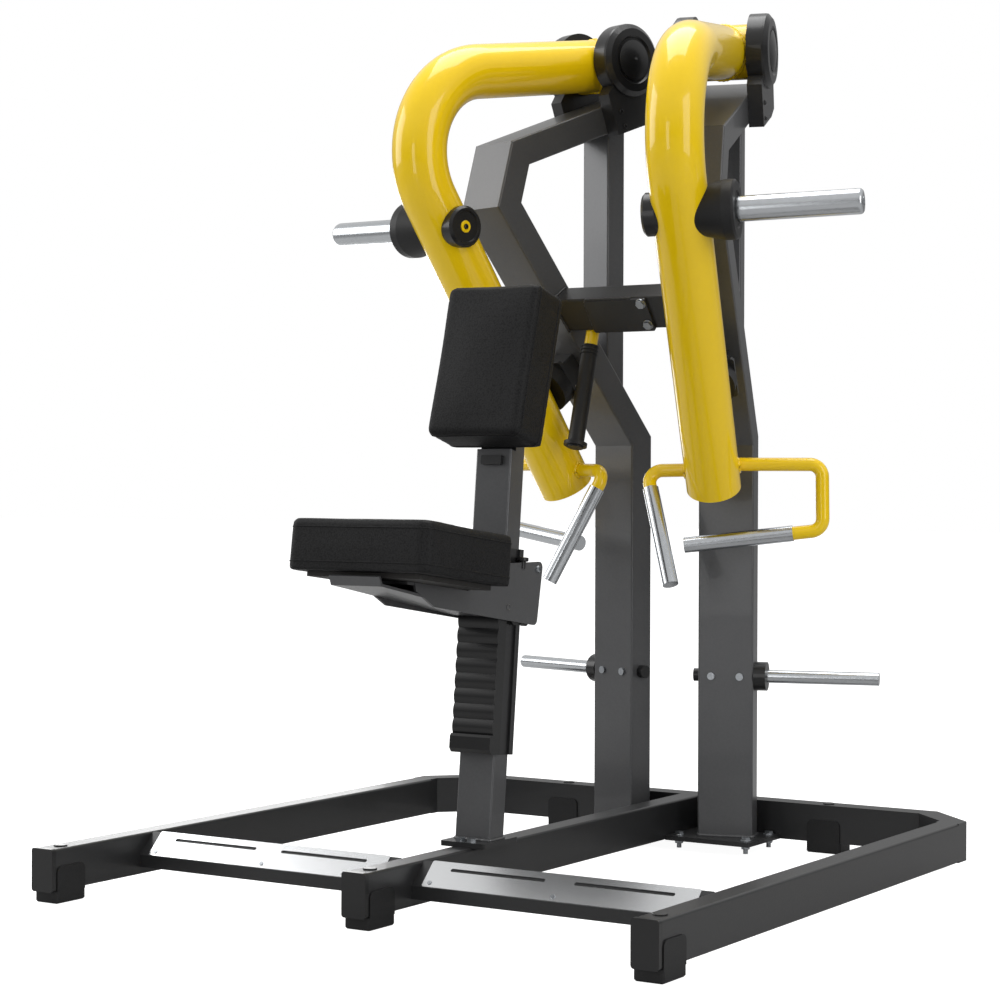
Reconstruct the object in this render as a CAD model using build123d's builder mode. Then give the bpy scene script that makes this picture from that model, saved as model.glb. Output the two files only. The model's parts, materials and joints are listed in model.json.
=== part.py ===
"""Plate-loaded seated row machine: welded tube frame, two swinging lever arms and a seat that slides.

The frame stands on Z = 0 with the middle of its floor area at the origin. The user sits on the -Y side
and faces +Y. The right half is drawn and the left half is its mirror image in the YZ plane.
"""

import os
from math import cos, hypot, radians, sin, tan

from build123d import *

# Base frame
base_width = 1344
base_length = 1418
rail_width = 50
rail_height = 80
rail_wall = 3
foot_height = 23
rail_bottom = foot_height
rail_top = rail_bottom + rail_height
front_y = -base_length / 2
rear_y = base_length / 2
corner_cut = 107
corner_leg = 43
centre_rail_recess = 104
cap_thickness = 8
foot_offset = 48
rear_foot_x = 326
plug_radius = 13
foot_flap = 3

# Foot plates
tread_front_y = front_y + 246
tread_low = 62
tread_lip = 24
tread_rise = 41
tread_sheet = 4
tread_thickness = 3
tread_inset = 23
slot_length = 200

# Uprights, toed outwards at the front
toe = radians(16.5)
upright_x = 139.7
upright_y = 559.3
upright_width = 120
upright_depth = 60
upright_wall = 4
upright_corner = 4
plate_thickness = 10
upright_bottom = rail_bottom + plate_thickness
front_corners = [(0, upright_bottom), (0, 876), (391, 1370), (353, 1511), (-30, 1655.7)]
diagonal = hypot(391, 1370 - 876)
diagonal_forward = 391 / diagonal
diagonal_up = (1370 - 876) / diagonal

# Pivot at the top of each upright
hub_forward = 42
hub_height = 1711
hub_radius = 79
shaft_radius = 20
shaft_gap = 0.05
bearing_radius = 38
sleeve_radius = 58
sleeve_half = 55
bracket_inner = upright_width / 2
bracket_outer = 92

# Lever arm
arm_radius = 57
arm_wall = 5
arm_bend = 182
arm_corner = (680.5, 1616)
arm_end = (139, 785)

# Weight horn
horn_forward = 489
horn_height = 1323
horn_radius = 25
horn_tip = 356
horn_tilt = radians(2)
collar_radius = 59
collar_face = 112
boss_radius = 43
boss_face = 73

# Handles
bar_radius = 14
grip_radius = 16.5

# Cross beam between the two uprights
beam_forward = 195
beam_height = 1165
joint_x = 48
assist_x = -87

# Arm stops on the diagonals
stop_along = 221
stop_reach = 89

# Storage horns
storage_height = 378
storage_radius = 14
storage_tip = 326
storage_collar = 26

# Seat post and the parts that slide on it; seat heights are along the leaning post
lean = radians(5.6)
post_width = 80
post_depth = 50
post_front_y = front_y + 486
flange_thickness = 10
post_bottom = rail_top + flange_thickness
rack_low = 201
rack_length = 330
rack_pitch = 29
rack_depth = 22
ridge_relief = 4
strip_width = 14
roller_radius = 12
carriage_half = 56
carriage_sheet = 5

# Seat pad
seat_tilt = radians(7)
seat_width = 308
seat_length = 292
seat_thickness = 94
seat_corner = 15
seat_centre_y = front_y + 243
seat_bottom = 621
board_thickness = 9

# Chest pad
pad_lean = radians(15.7)
chest_width = 208
chest_height = 302
chest_thickness = 98
chest_face_y = front_y + 514.5
chest_face_z = 1032.5

swing = Plane(origin=(upright_x, upright_y, 0), x_dir=(sin(toe), -cos(toe), 0),
              z_dir=(-cos(toe), -sin(toe), 0))


def at(forward, outward, height):
    """Point given in the right arm's plane: forward of the post, outward from it, above the floor."""
    x = upright_x + forward * sin(toe) + outward * cos(toe)
    y = upright_y - forward * cos(toe) + outward * sin(toe)
    return Vector(x, y, height)


def across(forward, outward, height):
    """Plane square to the pivot axis, its normal pointing outward."""
    return Plane(origin=at(forward, outward, height), x_dir=(sin(toe), -cos(toe), 0),
                 z_dir=(cos(toe), sin(toe), 0))


def band(points, thickness):
    """Closed outline of a mitred strip: the points, then the same line moved behind by the thickness."""
    sides = []
    for start, end in zip(points, points[1:]):
        length = hypot(end[0] - start[0], end[1] - start[1])
        sides.append(((end[0] - start[0]) / length, (end[1] - start[1]) / length))
    back = []
    for index, (x, y) in enumerate(points):
        before = sides[max(index - 1, 0)]
        after = sides[min(index, len(sides) - 1)]
        reach = thickness / (1 + before[0] * after[0] + before[1] * after[1])
        back.append((x - (before[1] + after[1]) * reach, y + (before[0] + after[0]) * reach))
    return points + back[::-1]


def finish(piece, label):
    piece.part.label = label
    export_step(piece.part, f"parts/{label}.step")


def finish_pair(piece, name):
    """Write the right-hand piece and its mirror image."""
    finish(piece, f"right_{name}")
    with BuildPart() as other:
        mirror(piece.part, about=Plane.YZ)
    finish(other, f"left_{name}")


os.makedirs("parts", exist_ok=True)

# Side rails and centre rail: open tubes that butt against the rear crossbar
rail_middle = (rail_bottom + rail_top) / 2
side_x = (base_width - rail_width) / 2
side_front = front_y + cap_thickness
side_back = rear_y - corner_cut - corner_leg
with BuildPart() as right_side_rail:
    with BuildSketch(Plane.XZ.offset(-side_front)):
        with Locations((side_x, rail_middle)):
            RectangleRounded(rail_width, rail_height, 5)
            RectangleRounded(rail_width - 2 * rail_wall, rail_height - 2 * rail_wall, 2, mode=Mode.SUBTRACT)
    extrude(amount=side_front - side_back)
finish_pair(right_side_rail, "side_rail")

centre_front = front_y + centre_rail_recess + cap_thickness
centre_back = rear_y - rail_width
with BuildPart() as centre_rail:
    with BuildSketch(Plane.XZ.offset(-centre_front)):
        with Locations((0, rail_middle)):
            RectangleRounded(rail_width, rail_height, 5)
            RectangleRounded(rail_width - 2 * rail_wall, rail_height - 2 * rail_wall, 2, mode=Mode.SUBTRACT)
    extrude(amount=centre_front - centre_back)
finish(centre_rail, "centre_rail")


def crossbar_outline(inset):
    """Half of the rear crossbar's plan, from its outer edge to its inner edge."""
    outer = base_width / 2
    turn = tan(radians(22.5))
    near = inset
    far = rail_width - inset
    return [
        (outer - near, side_back - inset),
        (outer - near, rear_y - corner_cut - near * turn),
        (outer - corner_cut - near * turn, rear_y - near),
        (0, rear_y - near),
        (0, rear_y - far),
        (outer - corner_cut - far * turn, rear_y - far),
        (outer - far, rear_y - corner_cut - far * turn),
        (outer - far, side_back - inset),
    ]


with BuildPart() as rear_crossbar:
    with BuildSketch(Plane.XY.offset(rail_bottom)):
        with BuildLine():
            Polyline(*crossbar_outline(0), close=True)
        make_face()
        mirror(about=Plane.YZ)
    extrude(amount=rail_height)
    with BuildSketch(Plane.XY.offset(rail_bottom + rail_wall)):
        with BuildLine():
            Polyline(*crossbar_outline(rail_wall), close=True)
        make_face()
        mirror(about=Plane.YZ)
    extrude(amount=rail_height - 2 * rail_wall, mode=Mode.SUBTRACT)
finish(rear_crossbar, "rear_crossbar")

# Folded supports under the foot plates
support_start = rail_width / 2
support_end = base_width / 2 - rail_width
support_line = [
    (tread_front_y, tread_low - tread_lip),
    (tread_front_y, tread_low),
    (tread_front_y + tread_rise, tread_low + tread_rise),
    (tread_front_y + tread_rise, tread_low + tread_rise - tread_lip),
]
with BuildPart() as tread_supports:
    with BuildSketch(Plane.YZ.offset(support_start)):
        with BuildLine():
            Polyline(*band(support_line, -tread_sheet), close=True)
        make_face()
    extrude(amount=support_end - support_start)
    mirror(about=Plane.YZ)
finish(tread_supports, "tread_supports")

# Foot plates lie on the slope of the supports
tread_plane = Plane(origin=(0, tread_front_y, tread_low), x_dir=(1, 0, 0), z_dir=(0, -1, 1))
tread_slope = tread_rise * 2 ** 0.5
tread_length = support_end - support_start - 2 * tread_inset
tread_middle = (support_start + support_end) / 2
rivet_spots = [(tread_middle - tread_length / 2 + 14, 9), (tread_middle, 9),
               (tread_middle + tread_length / 2 - 14, 9)]
with BuildPart() as right_tread:
    with BuildSketch(tread_plane):
        with Locations((tread_middle, tread_slope / 2)):
            RectangleRounded(tread_length, tread_slope, 4)
        with Locations((tread_middle - 130, 41), (tread_middle + 130, 41)):
            SlotOverall(slot_length, 7, mode=Mode.SUBTRACT)
    extrude(amount=tread_thickness)
finish_pair(right_tread, "tread")

with BuildPart() as tread_rivets:
    with BuildSketch(tread_plane.offset(tread_thickness)):
        with Locations(*rivet_spots):
            Circle(4)
    extrude(amount=1.5)
    mirror(about=Plane.YZ)
finish(tread_rivets, "tread_rivets")


# Rubber feet: a block under the tube and a flap up each side of it
def saddle_foot(plane):
    with BuildPart() as foot:
        with BuildSketch(plane):
            RectangleRounded(56, 80, 6)
        extrude(amount=foot_height)
        chamfer(foot.faces().sort_by(Axis.Z)[0].edges(), length=3)
        for side in (-1, 1):
            with BuildSketch(Plane(origin=plane.from_local_coords((side * rail_width / 2, 0, 0)),
                                   x_dir=plane.y_dir, z_dir=plane.x_dir * side)):
                with Locations((0, side * (foot_height + 22))):
                    RectangleRounded(76, 50, 12)
                with Locations((0, side * (foot_height + 6))):
                    Rectangle(76, 18)
            extrude(amount=foot_flap)
    return foot.part


front_feet = [(-side_x, front_y + foot_offset), (side_x, front_y + foot_offset),
              (0, front_y + centre_rail_recess + foot_offset)]
rear_feet = [(-rear_foot_x, rear_y - rail_width / 2), (rear_foot_x, rear_y - rail_width / 2)]
with BuildPart() as rubber_feet:
    for x, y in front_feet:
        add(saddle_foot(Plane(origin=(x, y, 0))))
    for x, y in rear_feet:
        add(saddle_foot(Plane(origin=(x, y, 0), x_dir=(0, 1, 0), z_dir=(0, 0, 1))))
finish(rubber_feet, "rubber_feet")

with BuildPart() as rail_caps:
    for x, y in ((-side_x, front_y), (side_x, front_y), (0, front_y + centre_rail_recess)):
        with BuildSketch(Plane(origin=(x, y - foot_flap, rail_middle), x_dir=(1, 0, 0), z_dir=(0, 1, 0))):
            RectangleRounded(rail_width + 2, rail_height + 2, 6)
        extrude(amount=cap_thickness + foot_flap)
finish(rail_caps, "rail_caps")

with BuildPart() as rail_plugs:
    with BuildSketch(Plane.XY.offset(rail_top)):
        with Locations(*front_feet, *rear_feet):
            Circle(plug_radius)
    extrude(amount=2.5)
    fillet(rail_plugs.faces().group_by(Axis.Z)[-1].edges(), radius=1.2)
finish(rail_plugs, "rail_plugs")

# Uprights: rectangular tube bent in the swing plane, closed at its top end
outer_outline = band(front_corners, upright_depth)
run_start = front_corners[-2]
run_end = front_corners[-1]
run_length = hypot(run_end[0] - run_start[0], run_end[1] - run_start[1])
closed_end = (run_end[0] - (run_end[0] - run_start[0]) * upright_wall / run_length,
              run_end[1] - (run_end[1] - run_start[1]) * upright_wall / run_length)
inner_corners = front_corners[:-1] + [closed_end]
inner_front = band(inner_corners, upright_wall)[:len(inner_corners) - 1:-1]
inner_outline = band(inner_front, upright_depth - 2 * upright_wall)
with BuildPart() as right_upright:
    with BuildSketch(swing):
        with BuildLine():
            Polyline(*outer_outline, close=True)
        make_face()
    extrude(amount=upright_width / 2, both=True)
    long_edges = [edge for edge in right_upright.edges()
                  if abs((edge % 0.5).dot(swing.z_dir)) < 0.01 and edge.center().Z > upright_bottom + 1]
    fillet(long_edges, radius=upright_corner)
    with BuildSketch(swing):
        with BuildLine():
            Polyline(*inner_outline, close=True)
        make_face()
    extrude(amount=upright_width / 2 - upright_wall, both=True, mode=Mode.SUBTRACT)
finish_pair(right_upright, "upright")

# Rear posts stand on the diagonal and carry the top run
with BuildPart() as rear_posts:
    with BuildSketch(Plane(origin=at(32, 0, 950), x_dir=swing.x_dir, z_dir=(0, 0, 1))):
        RectangleRounded(50, 80, 4)
        RectangleRounded(44, 74, 2, mode=Mode.SUBTRACT)
    extrude(amount=650)
    with BuildSketch(swing):
        with BuildLine():
            Polyline(*outer_outline, close=True)
        make_face()
    extrude(amount=upright_width / 2, both=True, mode=Mode.SUBTRACT)
    mirror(about=Plane.YZ)
finish(rear_posts, "rear_posts")

# Floor plates of the uprights, and the seat post's flange on the centre rail
plate_front = front_y + 1212
plate_back = rear_y - rail_width
plate_outer = 224
plate_middle = (rail_width / 2 + plate_outer) / 2
bolt_x = (44, 204)
bolt_y = (531, 642)
bolt_spots = [(x, y) for x in bolt_x for y in bolt_y]
flange_y = post_front_y + post_depth / 2
flange_spots = [(x, flange_y + y) for x in (-12, 12) for y in (-46, 46)]
with BuildPart() as base_plates:
    with BuildSketch(Plane.XY.offset(rail_bottom)):
        with Locations((plate_middle, (plate_front + plate_back) / 2)):
            Rectangle(plate_outer - rail_width / 2, plate_back - plate_front)
        with Locations(*bolt_spots):
            Circle(5, mode=Mode.SUBTRACT)
    extrude(amount=plate_thickness)
    mirror(about=Plane.YZ)
    with BuildSketch(Plane.XY.offset(rail_top)):
        with Locations((0, flange_y)):
            RectangleRounded(100, 122, 6)
        with Locations(*flange_spots):
            Circle(5, mode=Mode.SUBTRACT)
    extrude(amount=flange_thickness)
finish(base_plates, "base_plates")


def hex_bolt(plane, shank):
    """Hexagon-head bolt: its head stands on the plane and its shank goes down through it."""
    with BuildPart() as bolt:
        with BuildSketch(plane):
            RegularPolygon(radius=8.5, side_count=6, major_radius=False)
        extrude(amount=7)
        with BuildSketch(plane):
            Circle(5)
        extrude(amount=-shank)
    return bolt.part


with BuildPart() as base_bolts:
    for x, y in bolt_spots:
        for side in (-1, 1):
            add(hex_bolt(Plane(origin=(side * x, y, upright_bottom)), 28))
    for x, y in flange_spots:
        add(hex_bolt(Plane(origin=(x, y, post_bottom)), flange_thickness))
finish(base_bolts, "base_bolts")

# Cross beam: a tube turned to lie square with the diagonals, bolted to a stub on the right upright
beam_y = at(beam_forward, -upright_width / 2, beam_height).Y
beam_plane = Plane(origin=(0, beam_y, beam_height), x_dir=(0, -diagonal_forward, diagonal_up),
                   z_dir=(1, 0, 0))
plate_left = -70
plate_right = 77
plate_high = 38
plate_low = -42
plate_sheet = 6
beam_half_depth = 25
joint_hole = 5.2
inner_right = swing.offset(upright_width / 2)
inner_left = Plane(origin=(-inner_right.origin.X, inner_right.origin.Y, 0),
                   z_dir=(-inner_right.z_dir.X, inner_right.z_dir.Y, 0))


def beam_tube(start, end):
    with BuildPart() as tube:
        with BuildSketch(beam_plane.offset(start)):
            RectangleRounded(80, 50, 4)
            RectangleRounded(74, 44, 2, mode=Mode.SUBTRACT)
        extrude(amount=end - start)
    return tube.part


joint_spots = [(65, 28), (65, -25)]
joint_face = Plane(origin=beam_plane.from_local_coords((0, beam_half_depth, 0)), x_dir=(1, 0, 0),
                   z_dir=beam_plane.y_dir)

with BuildPart() as cross_beam:
    add(beam_tube(-200, joint_x))
    split(bisect_by=inner_left, keep=Keep.TOP)
finish(cross_beam, "cross_beam")

with BuildPart() as beam_stub:
    add(beam_tube(joint_x + 0.2, 200))
    split(bisect_by=inner_right, keep=Keep.TOP)
    with BuildSketch(joint_face):
        with Locations(*joint_spots):
            Circle(joint_hole)
    extrude(amount=-6, mode=Mode.SUBTRACT)
finish(beam_stub, "beam_stub")

with BuildPart() as joint_plate:
    with BuildSketch(joint_face.offset(0.1)):
        with Locations(((plate_left + plate_right) / 2, (plate_high + plate_low) / 2)):
            RectangleRounded(plate_right - plate_left, plate_high - plate_low, 5)
        with Locations(*joint_spots):
            Circle(joint_hole, mode=Mode.SUBTRACT)
    extrude(amount=plate_sheet)
finish(joint_plate, "joint_plate")

with BuildPart() as beam_bolts:
    for x, y in joint_spots:
        seat = joint_face.offset(plate_sheet + 0.1)
        add(hex_bolt(Plane(origin=seat.from_local_coords((x, y, 0)), x_dir=(1, 0, 0), z_dir=seat.z_dir), 22))
finish(beam_bolts, "beam_bolts")

# Hand hold below the cross beam
assist_top = (assist_x, beam_y + 22, beam_height - 46)
assist_bottom = (assist_x, beam_y - 52, 868)
assist_axis = Vector(*assist_bottom) - Vector(*assist_top)
assist_plane = Plane(origin=assist_top, z_dir=assist_axis)
with BuildPart() as assist_handle:
    with BuildSketch(assist_plane.offset(-34)):
        Circle(bar_radius)
    extrude(amount=34 + assist_axis.length - 8)
    with BuildSketch(beam_plane.offset(assist_x - 30)):
        RectangleRounded(80, 50, 4)
    extrude(amount=60, mode=Mode.SUBTRACT)
finish(assist_handle, "assist_handle")

with BuildPart() as assist_grip:
    with BuildSketch(assist_plane.offset(34)):
        Circle(17.5)
        Circle(bar_radius, mode=Mode.SUBTRACT)
    extrude(amount=assist_axis.length - 34)
    with BuildSketch(assist_plane.offset(assist_axis.length - 8)):
        Circle(17.5)
    extrude(amount=8)
    with BuildSketch(assist_plane.offset(assist_axis.length - 12)):
        Circle(25)
        Circle(17, mode=Mode.SUBTRACT)
    extrude(amount=8)
finish(assist_grip, "assist_grip")

# Brackets on both sides of the top run, cut round for the bearing housings
hub_spot = (hub_forward, hub_height)
bracket_outline = [(75, 1546), (106, 1631), (80, 1676), (-36, 1690), (-53, 1604), (-20, 1581)]
with BuildPart() as pivot_brackets:
    for side in (-1, 1):
        with BuildSketch(swing.offset(side * bracket_inner)):
            with BuildLine():
                Polyline(*bracket_outline, close=True)
            make_face()
            with Locations(hub_spot):
                Circle(hub_radius, mode=Mode.SUBTRACT)
            with Locations((68, 1598), (56, 1567)):
                Circle(4, mode=Mode.SUBTRACT)
        extrude(amount=side * (bracket_outer - bracket_inner))
    mirror(about=Plane.YZ)
finish(pivot_brackets, "pivot_brackets")

bearing_inner = bracket_inner + 5
bearing_outer = bearing_inner + 20
with BuildPart() as bearing_housings:
    for side in (-1, 1):
        with BuildSketch(swing.offset(side * bracket_inner)):
            with Locations(hub_spot):
                Circle(hub_radius)
                Circle(shaft_radius + 5, mode=Mode.SUBTRACT)
        extrude(amount=side * (bearing_inner - bracket_inner))
        with BuildSketch(swing.offset(side * bearing_inner)):
            with Locations(hub_spot):
                Circle(hub_radius)
                Circle(bearing_radius, mode=Mode.SUBTRACT)
        extrude(amount=side * (bracket_outer - bearing_inner))
    mirror(about=Plane.YZ)
finish(bearing_housings, "bearing_housings")

with BuildPart() as pivot_bearings:
    for side in (-1, 1):
        with BuildSketch(swing.offset(side * bearing_inner)):
            with Locations(hub_spot):
                Circle(bearing_radius)
                Circle(shaft_radius + shaft_gap, mode=Mode.SUBTRACT)
        extrude(amount=side * (bearing_outer - bearing_inner))
    mirror(about=Plane.YZ)
finish(pivot_bearings, "pivot_bearings")

# Covers: bevelled ring, shallow groove and a dome in the middle
dome_edge = 43
dome_rise = 6
dome_radius = (dome_edge ** 2 + dome_rise ** 2) / (2 * dome_rise)
dome_top = 19
dome_middle = dome_top - dome_radius + (dome_radius ** 2 - (dome_edge / 2) ** 2) ** 0.5
with BuildPart() as hub_covers:
    for side in (-1, 1):
        face = across(hub_forward, side * bracket_outer, hub_height)
        profile = Plane(origin=face.origin, x_dir=face.x_dir, z_dir=face.y_dir * -side)
        with BuildSketch(profile):
            with BuildLine():
                Polyline((0, 0), (hub_radius, 0), (hub_radius - 1, 5), (68, 13), (52, 14), (48, 10),
                         (dome_edge, 10), (dome_edge, dome_top - dome_rise))
                ThreePointArc((dome_edge, dome_top - dome_rise), (dome_edge / 2, dome_middle), (0, dome_top))
                Line((0, dome_top), (0, 0))
            make_face()
        revolve(axis=Axis(face.origin, face.z_dir))
    mirror(about=Plane.YZ)
finish(hub_covers, "hub_covers")

# What swings with each arm: shaft, sleeve, bent tube, horn, boss and handles
with BuildPart() as right_pivot_shaft:
    with BuildSketch(swing):
        with Locations(hub_spot):
            Circle(shaft_radius)
    extrude(amount=bearing_outer + 3, both=True)
finish_pair(right_pivot_shaft, "pivot_shaft")

with BuildPart() as right_pivot_sleeve:
    with BuildSketch(swing):
        with Locations(hub_spot):
            Circle(sleeve_radius)
    extrude(amount=sleeve_half, both=True)
    with BuildSketch(swing):
        with Locations(hub_spot):
            Circle(sleeve_radius - 6)
    extrude(amount=sleeve_half - 10, both=True, mode=Mode.SUBTRACT)
    with BuildSketch(swing):
        with Locations(hub_spot):
            Circle(shaft_radius)
    extrude(amount=sleeve_half, both=True, mode=Mode.SUBTRACT)
finish_pair(right_pivot_sleeve, "pivot_sleeve")

with BuildPart() as right_arm:
    with BuildLine(swing) as arm_line:
        FilletPolyline(hub_spot, arm_corner, arm_end, radius=arm_bend)
    start = arm_line.line @ 0
    heading = arm_line.line % 0
    with BuildSketch(Plane(origin=start, z_dir=heading)):
        Circle(arm_radius)
        Circle(arm_radius - arm_wall, mode=Mode.SUBTRACT)
    sweep(path=arm_line.line)
    with BuildSketch(Plane(origin=arm_line.line @ 1, z_dir=-(arm_line.line % 1))):
        Circle(arm_radius)
    extrude(amount=arm_wall)
    with BuildSketch(swing):
        with Locations(hub_spot):
            Circle(sleeve_radius)
    extrude(amount=arm_radius + 5, both=True, mode=Mode.SUBTRACT)
finish_pair(right_arm, "arm")

horn_centre = at(horn_forward, 0, horn_height)
horn_way = Vector(cos(toe) * cos(horn_tilt), sin(toe) * cos(horn_tilt), sin(horn_tilt))
horn_plane = Plane(origin=horn_centre, x_dir=(sin(toe), -cos(toe), 0), z_dir=horn_way)
arm_way = at(arm_end[0], 0, arm_end[1]) - at(arm_corner[0], 0, arm_corner[1])
arm_tube_plane = Plane(origin=at(arm_corner[0], 0, arm_corner[1]), z_dir=arm_way)


def turned(profile, way):
    """Solid turned about the horn's axis from (radius, distance) points, hollowed to sit on the arm tube."""
    with BuildPart() as solid:
        with BuildSketch(Plane(origin=horn_centre, x_dir=horn_plane.x_dir, z_dir=horn_plane.y_dir * -way)):
            with BuildLine():
                Polyline(*profile, close=True)
            make_face()
        revolve(axis=Axis(horn_centre, horn_way))
        with BuildSketch(arm_tube_plane):
            Circle(arm_radius)
        extrude(amount=arm_way.length, mode=Mode.SUBTRACT)
    return solid.part


with BuildPart() as right_weight_horn:
    with BuildSketch(horn_plane.offset(collar_face)):
        Circle(horn_radius)
    extrude(amount=horn_tip - collar_face)
    fillet(right_weight_horn.edges().sort_by(Axis.X)[-1], radius=8)
    with BuildSketch(horn_plane):
        Circle(horn_radius - 1)
    extrude(amount=collar_face)
    with BuildSketch(arm_tube_plane):
        Circle(arm_radius)
    extrude(amount=arm_way.length, mode=Mode.SUBTRACT)
finish_pair(right_weight_horn, "weight_horn")

collar_profile = [(horn_radius - 1, 30), (46, 30), (collar_radius, 88), (collar_radius, collar_face - 4),
                  (collar_radius - 4, collar_face), (38, collar_face), (36, collar_face - 3),
                  (horn_radius - 1, collar_face - 3)]
with BuildPart() as right_horn_collar:
    add(turned(collar_profile, 1))
finish_pair(right_horn_collar, "horn_collar")

boss_profile = [(0, 30), (40, 30), (boss_radius, 46), (boss_radius, boss_face - 5),
                (boss_radius - 5, boss_face),
                (33, boss_face), (31, boss_face - 4), (0, boss_face - 4)]
with BuildPart() as right_horn_boss:
    add(turned(boss_profile, -1))
finish_pair(right_horn_boss, "horn_boss")

# Handles: bent bars welded to the arm's lower end, with bright tubes over their grip lengths
inner_points = [at(152, -40, 822), at(155, -140, 820), at(251, -69, 589)]
outer_points = [at(142, 40, 834), at(132, 226, 834), at(132, 228, 698), at(155, -55, 664.6)]


def bent_bar(points, radius, bend):
    """Round bar along filleted points, trimmed where it meets the arm tube."""
    with BuildPart() as bar:
        with BuildLine() as line:
            FilletPolyline(*points, radius=bend)
        with BuildSketch(Plane(origin=line.line @ 0, z_dir=line.line % 0)):
            Circle(radius)
        sweep(path=line.line)
        with BuildSketch(arm_tube_plane):
            Circle(arm_radius)
        extrude(amount=arm_way.length, mode=Mode.SUBTRACT)
    return bar.part


def grip_tube(corner, end, from_corner, beyond):
    """Bright tube over the straight end of a handle bar."""
    length = (end - corner).length
    with BuildPart() as tube:
        with BuildSketch(Plane(origin=corner, z_dir=end - corner).offset(from_corner)):
            Circle(grip_radius)
        extrude(amount=length - from_corner + beyond)
        with BuildSketch(Plane(origin=corner, z_dir=end - corner).offset(from_corner)):
            Circle(bar_radius)
        extrude(amount=length - from_corner, mode=Mode.SUBTRACT)
    return tube.part


with BuildPart() as right_inner_handle:
    add(bent_bar(inner_points, bar_radius, 26))
finish_pair(right_inner_handle, "inner_handle")

with BuildPart() as right_outer_handle:
    add(bent_bar(outer_points, bar_radius, 26))
finish_pair(right_outer_handle, "outer_handle")

with BuildPart() as right_grips:
    add(grip_tube(inner_points[1], inner_points[2], 42, 4))
    add(grip_tube(outer_points[2], outer_points[3], 62, 4))
finish_pair(right_grips, "grips")

# Arm stops: a bracket square to the diagonal and a rubber disc at its end
stop_spot = at(stop_along * diagonal_forward, 0, 876 + stop_along * diagonal_up)
stop_way = at(diagonal_up, 0, -diagonal_forward) - at(0, 0, 0)
stop_plane = Plane(origin=stop_spot, x_dir=(cos(toe), sin(toe), 0), z_dir=stop_way)
rubber_start = stop_reach - 30
with BuildPart() as stop_brackets:
    with BuildSketch(stop_plane):
        RectangleRounded(70, 60, 4)
    extrude(amount=rubber_start - 8)
    with BuildSketch(stop_plane.offset(rubber_start - 8)):
        RectangleRounded(108, 96, 8)
    extrude(amount=8)
    mirror(about=Plane.YZ)
finish(stop_brackets, "stop_brackets")

with BuildPart() as stop_rubbers:
    with BuildSketch(stop_plane.offset(rubber_start)):
        Circle(56)
    extrude(amount=stop_reach - rubber_start)
    with BuildSketch(arm_tube_plane):
        Circle(arm_radius + 0.6)
    extrude(amount=arm_way.length, mode=Mode.SUBTRACT)
    mirror(about=Plane.YZ)
finish(stop_rubbers, "stop_rubbers")

# Storage horns pass through the lower posts
storage_plane = across(-upright_depth / 2, 0, storage_height)
post_side = upright_width / 2
with BuildPart() as storage_horns:
    with BuildSketch(storage_plane.offset(post_side)):
        Circle(storage_radius - 1)
    extrude(amount=storage_collar)
    with BuildSketch(storage_plane.offset(post_side + storage_collar)):
        Circle(storage_radius)
    extrude(amount=storage_tip - post_side - storage_collar)
    mirror(about=Plane.YZ)
finish(storage_horns, "storage_horns")

with BuildPart() as storage_collars:
    with BuildSketch(storage_plane.offset(post_side)):
        Circle(31)
        Circle(storage_radius - 1, mode=Mode.SUBTRACT)
    extrude(amount=storage_collar)
    mirror(about=Plane.YZ)
finish(storage_collars, "storage_collars")

with BuildPart() as storage_plugs:
    with BuildSketch(storage_plane.offset(-post_side)):
        Circle(storage_radius)
    extrude(amount=-14)
    mirror(about=Plane.YZ)
finish(storage_plugs, "storage_plugs")

with BuildPart() as storage_screws:
    for outward in (-31, 31):
        spot = at(0, outward, storage_height)
        with BuildSketch(Plane(origin=spot, x_dir=(cos(toe), sin(toe), 0), z_dir=swing.x_dir)):
            Circle(8)
        extrude(amount=4.5)
    mirror(about=Plane.YZ)
finish(storage_screws, "storage_screws")

# Seat post and what stands on it; the leaning frame has its origin at the post's front foot
post_frame = Plane(origin=(0, post_front_y, post_bottom), x_dir=(1, 0, 0), z_dir=(0, sin(lean), cos(lean)))
chest_out = Vector(0, -cos(pad_lean), sin(pad_lean))
chest_back = Vector(0, chest_face_y, chest_face_z) - chest_out * chest_thickness
chest_plane = Plane(origin=chest_back, x_dir=(1, 0, 0), z_dir=chest_out)
backing = 8
tab_low = 720
with BuildPart() as seat_post:
    with BuildSketch(post_frame.offset(-6)):
        with Locations((0, post_depth / 2)):
            RectangleRounded(post_width, post_depth, 4)
            RectangleRounded(post_width - 6, post_depth - 6, 2, mode=Mode.SUBTRACT)
    extrude(amount=1000)
    split(bisect_by=Plane.XY.offset(post_bottom), keep=Keep.TOP)
    with BuildSketch(chest_plane.offset(-backing)):
        with Locations((0, 200 - chest_height / 2 - 3)):
            Rectangle(300, 400)
    extrude(amount=200, mode=Mode.SUBTRACT)
    with BuildSketch(chest_plane.offset(-backing)):
        with Locations((0, 200 + chest_height / 2 - 40)):
            Rectangle(300, 400)
    extrude(amount=-200, mode=Mode.SUBTRACT)
finish(seat_post, "seat_post")

with BuildPart() as chest_bracket:
    with BuildSketch(chest_plane.offset(-backing)):
        RectangleRounded(150, chest_height - 40, 10)
    extrude(amount=backing - 0.5)
    with BuildSketch(Plane(origin=post_frame.from_local_coords((0, 0, tab_low)), x_dir=(1, 0, 0),
                           z_dir=-post_frame.y_dir)):
        with Locations((0, 9)):
            RectangleRounded(46, 18, 3)
    extrude(amount=9)
finish(chest_bracket, "chest_bracket")

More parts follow.
